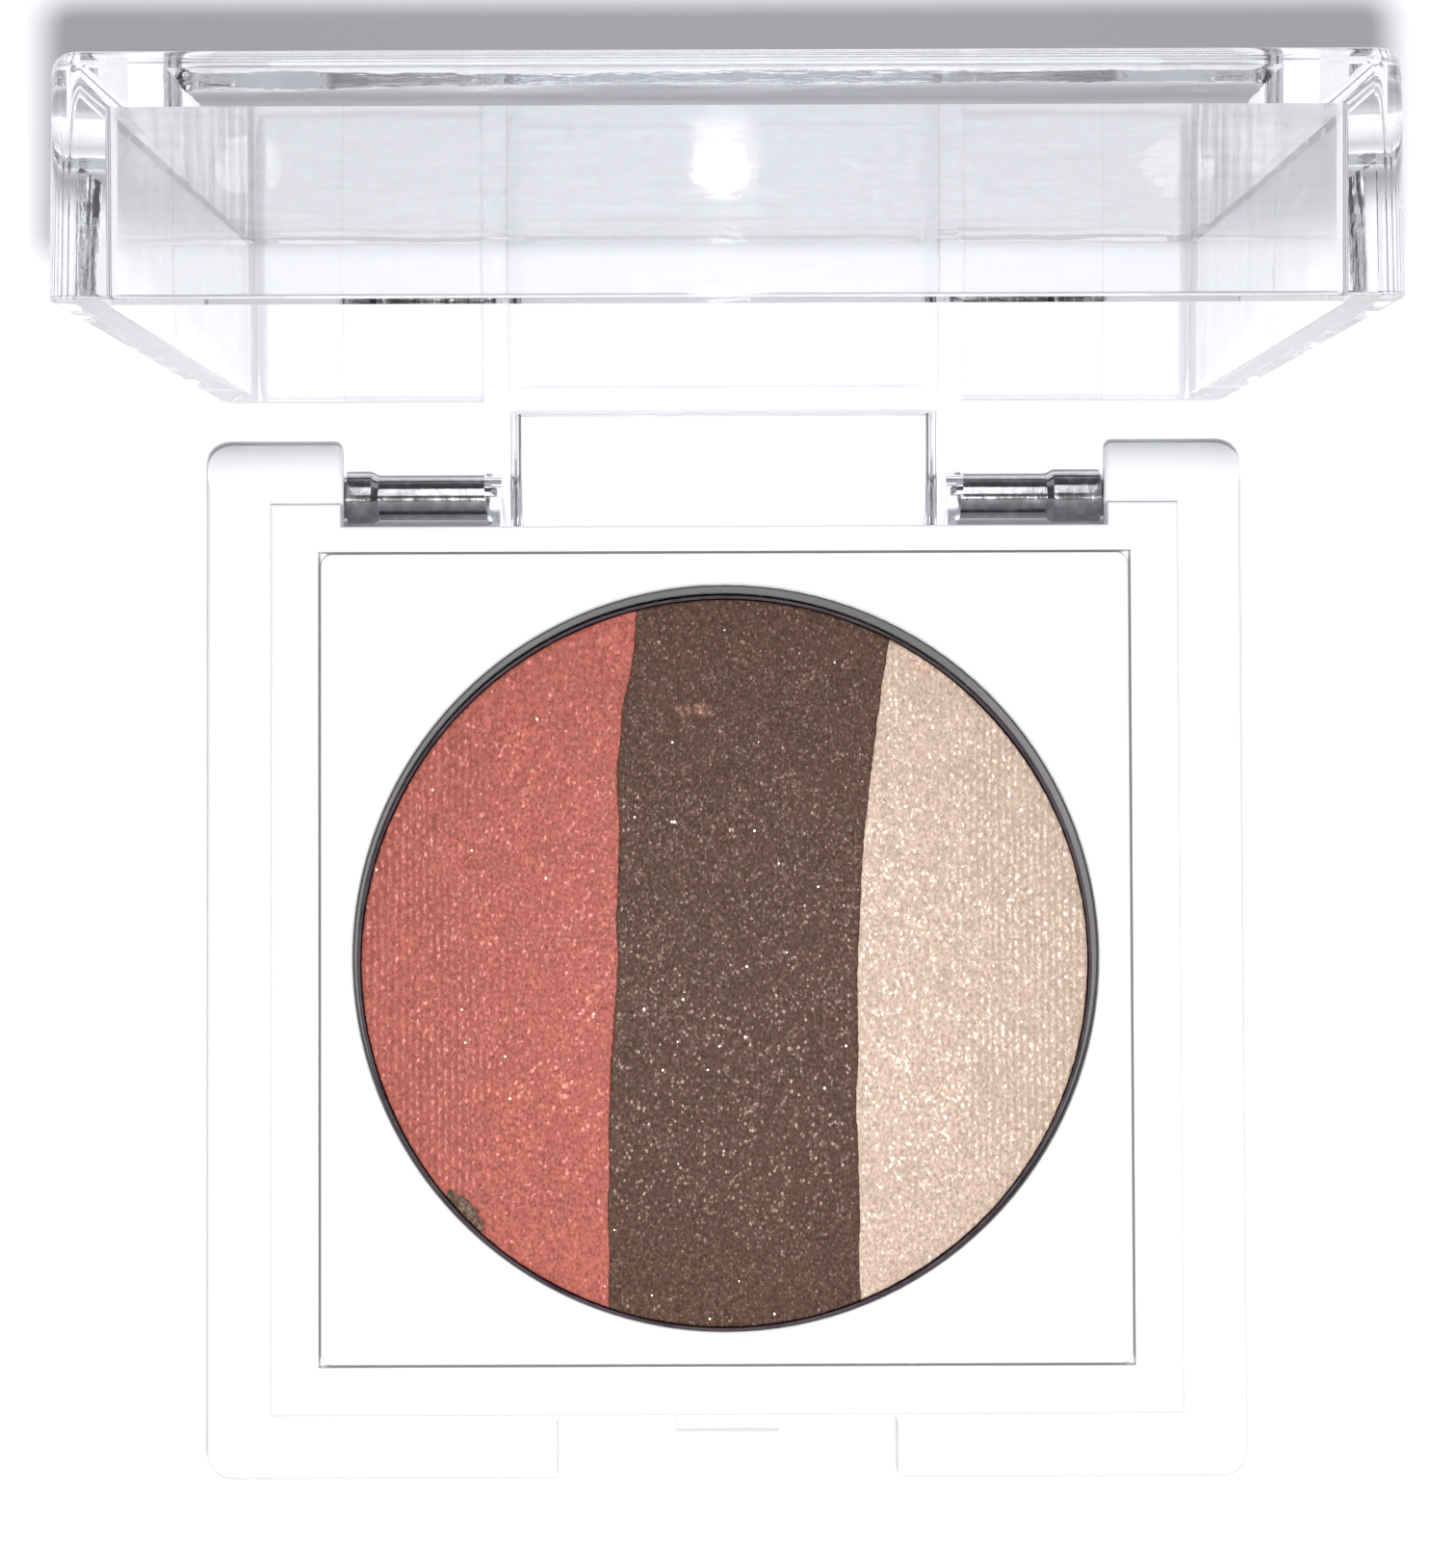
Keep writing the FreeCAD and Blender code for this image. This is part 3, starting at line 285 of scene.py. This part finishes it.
# slot=True paints shade into the base shell's slot round the pan.
M_BASE = white_plastic("white_satin", (0.885, 0.89, 0.90, 1.0), 0.34, 0.0, slot=True)
M_PLATE = white_plastic("white_plate", (0.90, 0.905, 0.91, 1.0), 0.28, 0.31)
M_COVER = white_plastic("white_cover", (0.87, 0.875, 0.885, 1.0), 0.46, 0.77)
M_CLEAR = clear_plastic()
M_STEEL = steel()
M_PAN = aluminium()
M_TAPE = foam_tape()
M_CORAL = powder("coral_pressed", lin(166, 93, 82), 0.62, 1.33, lin(204, 141, 129), lin(246, 214, 204),
                 0.024, 0.02, 0.004, 0.75, 0.30, 0.80, lin(98, 82, 70), None, 0.24, 1.55)
M_BROWN = powder("brown_pressed", lin(85, 64, 54), 0.54, 1.50, lin(152, 127, 114), lin(240, 228, 222),
                 0.018, 0.02, 0.008, 0.10, 0.66, 0.80, lin(158, 116, 98), lin(87, 66, 55), 0.21, 1.7)
M_CHAMP = powder("champagne_pressed", lin(191, 167, 150), 0.68, 1.28, lin(238, 222, 207), lin(255, 250, 240),
                 0.045, 0.02, 0.012, 0.75, 0.75, 0.80, lin(178, 140, 118), None, 0.25, 1.5)

for node, material in (("base_shell", M_BASE), ("bottom_cover", M_COVER), ("insert_plate", M_PLATE), ("lid_shell", M_CLEAR),
                       ("hinge_pin_left", M_STEEL), ("hinge_pin_right", M_STEEL), ("friction_sleeve_left", M_STEEL),
                       ("friction_sleeve_right", M_STEEL), ("pan", M_PAN), ("pan_adhesive", M_TAPE),
                       ("powder_coral", M_CORAL), ("powder_brown", M_BROWN), ("powder_champagne", M_CHAMP)):
    for slot in NODES[node].material_slots:
        slot.material = material


# ------------------------------------------------------------------ pressed powders
# Millimetres from the pan's centre. The two seams are long arcs with the slow wander that filling leaves, and a crumbly edge.

PAN = (-0.07, -0.30)
POWDER_R = 21.58
FLOOR_Z = 7.9
TOP_Z = 11.40
STEP = 0.13

SEAM_1 = ((-4.83, -6.88, 279.0),
          ((-21, -0.06), (-19, 0.0), (-16.8, 0.08), (-14.4, 0.0), (-12, 0.15), (-10.6, 0.02), (-8, 0.09), (-6, 0.08), (-4, 0.21),
           (-1, 0.28), (0.4, 0.32), (2, 0.11), (5, 0.05), (7, -0.03), (8.8, -0.14), (10.2, -0.40), (11.6, -0.53), (13.2, -0.45),
           (14.1, -0.48), (14.8, -0.58), (15.7, -0.47), (17.0, -0.29), (18.5, -0.18), (20, -0.30), (21, -0.32)))
SEAM_2 = ((9.77, 7.97, 205.0),
          ((-21, 0.05), (-18.6, 0.01), (-17, 0.03), (-16, 0.17), (-13.5, 0.18), (-10, 0.12), (-8.4, 0.02), (-6, 0.15), (-3, 0.06),
           (0, -0.05), (3, -0.06), (6, -0.14), (9, -0.10), (11.5, -0.06), (14, 0.01), (16.5, 0.03), (19, 0.11), (21, 0.04)))


def seam_x(v, seam):
    (top, bottom, radius), wander = seam
    vt, vb = math.sqrt(POWDER_R ** 2 - top ** 2), -math.sqrt(POWDER_R ** 2 - bottom ** 2)
    t = (v - vb) / (vt - vb)
    x = bottom + (top - bottom) * t - (vt - vb) ** 2 / 8 / radius * (1 - (2 * t - 1) ** 2)
    near = np.interp([v - 0.8, v - 0.4, v, v + 0.4, v + 0.8], [a for a, _ in wander], [b for _, b in wander])
    x += float(np.dot(near, (0.1, 0.22, 0.36, 0.22, 0.1)))
    return x + 0.05 * noise.noise((v * 1.9, radius, 0.3)) + 0.035 * noise.noise((v * 5.1, radius, 4.7))


def rim_r(angle):
    """The powder's own edge: a little inside the pan wall, crumbled here and there."""
    c, s = math.cos(angle), math.sin(angle)
    worn = max(0.0, noise.noise((c * 2.3 + 5.0, s * 2.3, 1.7)))
    return POWDER_R - 0.01 - 0.06 * worn - 0.03 * abs(noise.noise((c * 26.0, s * 26.0, 3.0))) - 0.01 * noise.noise((c * 70.0, s * 70.0, 8.0))


def meet(seam, start):
    """The angle at which a seam reaches the rim."""
    a = start
    for _ in range(40):
        v = rim_r(a) * math.sin(a)
        x = seam_x(v, seam)
        b = math.atan2(v, x)
        a += 0.5 * (b - a)
    return a


def along(points, step):
    """The same line with points every step."""
    p = np.array(points, float)
    s = np.concatenate([[0.0], np.cumsum(np.hypot(*np.diff(p, axis=0).T))])
    q = np.linspace(0.0, s[-1], max(2, int(round(s[-1] / step)) + 1))
    return np.stack([np.interp(q, s, p[:, 0]), np.interp(q, s, p[:, 1])], 1)


def rim_line(a0, a1):
    n = max(8, int(abs(a1 - a0) * POWDER_R / 0.04))
    return [(rim_r(a) * math.cos(a), rim_r(a) * math.sin(a)) for a in np.linspace(a0, a1, n)]


def seam_line(seam, a0, a1, side):
    v0, v1 = rim_r(a0) * math.sin(a0), rim_r(a1) * math.sin(a1)
    n = int(abs(v1 - v0) / 0.04)
    return [(seam_x(v, seam) + side * 0.008, v) for v in np.linspace(v0, v1, n)]


def inside(points, ring):
    """True for the points inside a closed ring, by crossings."""
    x, y = points[:, 0], points[:, 1]
    hit = np.zeros(len(points), bool)
    a, b = ring, np.roll(ring, -1, 0)
    for (x0, y0), (x1, y1) in zip(a, b):
        if y0 == y1:
            continue
        span = (y0 > y) != (y1 > y)
        hit ^= span & (x < (x1 - x0) * (y - y0) / (y1 - y0) + x0)
    return hit


def gap_to(points, ring):
    """Distance from each point to the ring's nearest point."""
    out = np.empty(len(points))
    for i in range(0, len(points), 2000):
        p = points[i:i + 2000]
        out[i:i + 2000] = np.sqrt(((p[:, None, :] - ring[None, :, :]) ** 2).sum(2).min(1))
    return out


def smooth(t):
    t = min(1.0, max(0.0, t))
    return t * t * (3 - 2 * t)


def weave(x, y):
    """The pressing cloth: short upright threads in columns, each column half a stitch on from the last."""
    x = x + 0.10 * noise.noise((x * 0.5, y * 0.45, 2.0)) + 0.03 * noise.noise((x * 1.7, y * 1.5, 6.0))
    k = math.floor(x / 0.42)
    across = math.cos(2 * math.pi * (x / 0.42 - k - 0.5))
    up = math.cos(2 * math.pi * (y / 0.92 + 0.5 * (k % 2) + 0.35 * noise.noise((k * 3.1, y * 0.8, 9.0))))
    return max(0.0, across) * (0.45 + 0.55 * max(0.0, up))


def cloth(x, y):
    """Where the weave still shows: towards the outer edges, in patches."""
    m = smooth((abs(x) - 9.5) / 8.0) * smooth((19.5 - abs(y)) / 7.0)
    return m * (0.55 + 0.75 * smooth(0.5 + noise.noise((x * 0.35, y * 0.25, 12.0))))


def height(x, y, d_rim, d_seam, chip):
    r = math.hypot(x, y)
    z = TOP_Z - 0.14 * (r / POWDER_R) ** 4
    z += 0.030 * noise.noise((x / 6.5, y / 6.5, 0.5)) + 0.012 * noise.noise((x / 1.6, y / 1.6, 7.5))
    z += 0.010 * noise.noise((x / 0.34, y / 0.50, 3.5)) + 0.008 * noise.noise((x / 0.21, y / 0.27, 5.5))
    z += 0.030 * cloth(x, y) * weave(x, y)
    t = min(1.0, d_rim / 0.14)
    z -= 0.08 * (1 - math.sqrt(max(0.0, 1 - (1 - t) ** 2)))
    z -= 0.07 * smooth(1 - d_rim / 0.8) * max(0.0, noise.noise((x * 1.3, y * 1.3, 20.0)))
    z -= 0.02 * smooth(1 - d_seam / 0.16)
    return z - 0.16 * chip


def patch(x, y, px, py, rx, ry, turn, seed):
    """A small ragged patch: 1 inside, 0 outside."""
    c, s = math.cos(turn), math.sin(turn)
    u, w = ((x - px) * c + (y - py) * s) / rx, (-(x - px) * s + (y - py) * c) / ry
    return smooth((1.05 + 0.45 * noise.noise((x * 1.6, y * 1.6, seed)) - math.hypot(u, w)) / 0.12)


def coral_marks(x, y):
    return patch(x, y, -15.43, -14.73, 1.55, 0.62, -0.80, 31.0)


def brown_marks(x, y):
    m = max(patch(x, y, -2.35, 15.0, 0.52, 0.30, 0.1, 41.0), patch(x, y, -1.25, 15.05, 0.55, 0.34, -0.3, 43.0))
    return 0.6 * m * smooth(0.5 + 1.6 * noise.noise((x * 4.0, y * 4.0, 44.0)))


def champagne_marks(x, y):
    return 0.55 * max(patch(x, y, 11.4, 17.75, 0.45, 0.22, -0.5, 51.0), patch(x, y, 12.0, 17.3, 0.35, 0.2, -0.9, 52.0))


def pressed(name, outline, seams, marks, chip_depth, material, node):
    """A closed powder cake: a fine top with its relief, a skirt down its edge and a flat underside."""
    ring = along(list(outline) + [outline[0]], STEP)[:-1]
    n = len(ring)
    # Two finer rings just inside the edge carry its rounding.
    nxt, prv = np.roll(ring, -1, 0), np.roll(ring, 1, 0)
    tang = nxt - prv
    tang /= np.maximum(np.hypot(tang[:, 0], tang[:, 1]), 1e-9)[:, None]
    inward = np.stack([-tang[:, 1], tang[:, 0]], 1)
    extra = [ring + inward * d for d in (0.05, 0.12, 0.21)]
    low, high = ring.min(0), ring.max(0)
    rows = np.arange(low[1], high[1], STEP * 0.92)
    grid = np.concatenate([np.stack([np.arange(low[0], high[0], STEP) + (STEP / 2 if i % 2 else 0.0), np.full(len(np.arange(low[0], high[0], STEP)), v)], 1)
                           for i, v in enumerate(rows)])
    grid = grid[inside(grid, ring)]
    grid = grid[gap_to(grid, ring) > 0.28]
    rims = []
    for d, e in zip((0.05, 0.12, 0.21), extra):
        e = e[inside(e, ring)]
        rims.append(e[gap_to(e, ring) > d * 0.85])
    cloud = np.concatenate([ring] + rims + [grid])
    edges = [(i, (i + 1) % n) for i in range(n)]
    places, _, faces, origin, _, _ = delaunay_2d_cdt([Vector(p) for p in cloud], edges, [], 1, 1e-5)
    first = {}
    for i, o in enumerate(origin):
        for k in o:
            first[k] = i
    edge_loop = [first[i] for i in range(n)]
    co = np.array([(p[0], p[1]) for p in places])
    seam_pts = np.array(seams, float)
    d_rim = np.array([max(0.0, rim_r(math.atan2(y, x)) - math.hypot(x, y)) for x, y in co])
    d_seam = gap_to(co, seam_pts)
    verts, press, chip = [], [], []
    for (x, y), dr, ds in zip(co, d_rim, d_seam):
        c = marks(x, y)
        verts.append(((x + PAN[0]) * MM, (y + PAN[1]) * MM, height(x, y, dr, ds, c * chip_depth) * MM))
        press.append(cloth(x, y) * (weave(x, y) - 0.28))
        chip.append(c)
    tops = [tuple(f) for f in faces]
    # Skirt and underside.
    base = len(verts)
    for i in edge_loop:
        x, y, _ = verts[i]
        verts.append((x, y, FLOOR_Z * MM))
        press.append(0.0)
        chip.append(0.0)
    sides = [(edge_loop[i], base + i, base + (i + 1) % n, edge_loop[(i + 1) % n]) for i in range(n)]
    under, _, lower, lower_from, _, _ = delaunay_2d_cdt([Vector(p) for p in ring], edges, [], 1, 1e-5)
    back = [o[0] for o in lower_from]
    bottoms = [tuple(base + back[i] for i in reversed(f)) for f in lower]
    mesh = bpy.data.meshes.new(name)
    mesh.from_pydata(verts, [], tops + sides + bottoms)
    for key, values in (("press", press), ("chip", chip)):
        mesh.attributes.new(key, "FLOAT", "POINT").data.foreach_set("value", np.array(values, np.float32))
    mesh.polygons.foreach_set("use_smooth", [True] * len(tops) + [False] * (len(sides) + len(bottoms)))
    mesh.validate()
    mesh.update()
    # A flat map of the top, with the skirt and underside beside it.
    uv = mesh.uv_layers.new(name="OFBake")
    span = max(high - low)
    for p in mesh.polygons:
        kind = 0 if p.index < len(tops) else 1 if p.index < len(tops) + n else 2
        for li, vi in zip(p.loop_indices, p.vertices):
            x, y = verts[vi][0] / MM - PAN[0], verts[vi][1] / MM - PAN[1]
            if kind == 0:
                place = (0.01 + 0.98 * (y - low[1]) / span, 0.01 + 0.98 * (x - low[0]) / span)
            elif kind == 1:
                i = p.index - len(tops)
                k = i + (1 if vi in (edge_loop[(i + 1) % n], base + (i + 1) % n) else 0)
                place = (0.01 + 0.98 * k / n, 0.965 + (0.02 if vi < base else 0.0))
            else:
                place = (0.01 + 0.18 * (y - low[1]) / span, 0.80 + 0.15 * (x - low[0]) / span)
            uv.data[li].uv = place
    mesh.materials.append(material)
    o = bpy.data.objects.new(name, mesh)
    scene.collection.objects.link(o)
    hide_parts(node)
    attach(o, "base")
    return o


A1, A2 = meet(SEAM_1, 1.8), meet(SEAM_2, 1.1)
B1, B2 = meet(SEAM_1, -1.9), meet(SEAM_2, -1.2)
S1L, S1R = seam_line(SEAM_1, A1, B1, -1), seam_line(SEAM_1, A1, B1, 1)
S2L, S2R = seam_line(SEAM_2, A2, B2, -1), seam_line(SEAM_2, A2, B2, 1)
# Every outline runs anticlockwise, so the surface lies to its left.
pressed("coral_cake", rim_line(A1 + 0.0004, 2 * math.pi + B1 - 0.0004) + S1L[::-1], S1L, coral_marks, 1.0, M_CORAL, "powder_coral")
pressed("brown_cake", rim_line(A2 + 0.0004, A1 - 0.0004) + S1R + rim_line(B1 + 0.0004, B2 - 0.0004) + S2L[::-1], S1R + S2L, brown_marks, -0.1, M_BROWN,
        "powder_brown")
pressed("champagne_cake", rim_line(B2 + 0.0004, A2 - 0.0004) + S2R, S2R, champagne_marks, 0.3, M_CHAMP, "powder_champagne")


# ------------------------------------------------------------------ stage, light and camera

def floor():
    m = Mat("pale_table")
    a = m.noise(14.0, 3.0, 0.5)
    b = m.noise(1400.0, 2.0, 0.5)
    tone = m.mix(a, (0.945, 0.945, 0.955, 1.0), (0.96, 0.96, 0.968, 1.0))
    m.shade(Base_Color=tone, Roughness=m.remap(b, 0.3, 0.7, 0.5, 0.62), Normal=m.bump(b, 0.00001, 0.4))
    mesh = bpy.data.meshes.new("table_top")
    s = 1.5
    mesh.from_pydata([(-s, -s, 0), (s, -s, 0), (s, s, 0), (-s, s, 0)], [], [(0, 1, 2, 3)])
    mesh.materials.append(m.m)
    o = bpy.data.objects.new("table_top", mesh)
    scene.collection.objects.link(o)


def lamp(name, place, aim, w, h, power, colour=(1, 1, 1), shape="RECTANGLE"):
    d = bpy.data.lights.new(name, "AREA")
    d.shape, d.size, d.size_y, d.energy, d.color = shape, w, h, power, colour
    o = bpy.data.objects.new(name, d)
    scene.collection.objects.link(o)
    o.location = place
    o.rotation_euler = (Vector(aim) - Vector(place)).to_track_quat("-Z", "Y").to_euler()
    return o


floor()
lamp("key", (0.0007, -0.0045, 0.2265), (0.0007, -0.1101, 0.0), 0.0075, 0.0085, 0.61, shape="ELLIPSE")
lamp("rear_window", (0.0, 0.185, 0.262), (0.0, 0.03, 0.0), 0.10, 0.20, 0.22, (0.95, 0.97, 1.05))

world = bpy.data.worlds.new("studio")
scene.world = world
world.use_nodes = True
t = world.node_tree
t.nodes.clear()
w_out = t.nodes.new("ShaderNodeOutputWorld")
w_bg = t.nodes.new("ShaderNodeBackground")
w_co = t.nodes.new("ShaderNodeTexCoord")
w_xyz = t.nodes.new("ShaderNodeSeparateXYZ")
t.links.new(w_co.outputs["Generated"], w_xyz.inputs[0])


def sky(stops):
    """Grey by height, from the horizon to straight up."""
    r = t.nodes.new("ShaderNodeValToRGB")
    t.links.new(w_xyz.outputs[2], r.inputs[0])
    e = r.color_ramp.elements
    while len(e) < len(stops):
        e.new(0.5)
    for el, (place, grey) in zip(e, stops):
        el.position, el.color = place, (grey * 0.97, grey * 0.98, grey * 1.06, 1)
    return r.outputs[0]


# Low white screens stand to the left and right.
w_abs = t.nodes.new("ShaderNodeMath")
w_abs.operation = "ABSOLUTE"
t.links.new(w_xyz.outputs[0], w_abs.inputs[0])
w_side = t.nodes.new("ShaderNodeMapRange")
w_side.interpolation_type = "SMOOTHSTEP"
for i, v in ((1, 0.35), (2, 0.75), (3, 0.0), (4, 1.0)):
    w_side.inputs[i].default_value = v
t.links.new(w_abs.outputs[0], w_side.inputs[0])
w_mix = t.nodes.new("ShaderNodeMix")
w_mix.data_type = "RGBA"
t.links.new(w_side.outputs[0], w_mix.inputs[0])
high_part = ((0.78, 0.10), (0.90, 0.10), (0.965, 0.075), (1.0, 0.07))
t.links.new(sky(((0.0, 0.16), (0.10, 0.15), (0.22, 0.12), (0.35, 0.10)) + high_part), w_mix.inputs[6])
t.links.new(sky(((0.0, 1.25), (0.10, 1.05), (0.22, 0.35), (0.35, 0.10)) + high_part), w_mix.inputs[7])
t.links.new(w_mix.outputs[2], w_bg.inputs[0])
w_bg.inputs[1].default_value = 1.0
t.links.new(w_bg.outputs[0], w_out.inputs[0])

cam_data = bpy.data.cameras.new("camera")
cam_data.lens = 82.8998
cam_data.sensor_width = 36.0
cam_data.sensor_fit = "AUTO"
cam_data.clip_start = 0.002
cam_data.clip_end = 20.0
cam = bpy.data.objects.new("camera", cam_data)
scene.collection.objects.link(cam)
cam.matrix_world = Matrix((
    (0.9999936805, 0.0034104728, -0.0010037774, -0.00079050713),
    (-0.0034378370, 0.9995834540, -0.0286548401, 0.00413880355),
    (0.0009056327, 0.0286581098, 0.9995888618, 0.22586881542),
    (0, 0, 0, 1)))
scene.camera = cam
scene.view_settings.view_transform = "Standard"
scene.view_settings.look = "None"
# Clear walls seen edge on need many passes of light.
scene.cycles.max_bounces = 32
scene.cycles.transmission_bounces = 32
scene.cycles.glossy_bounces = 16
scene.cycles.transparent_max_bounces = 32

bpy.context.view_layer.update()
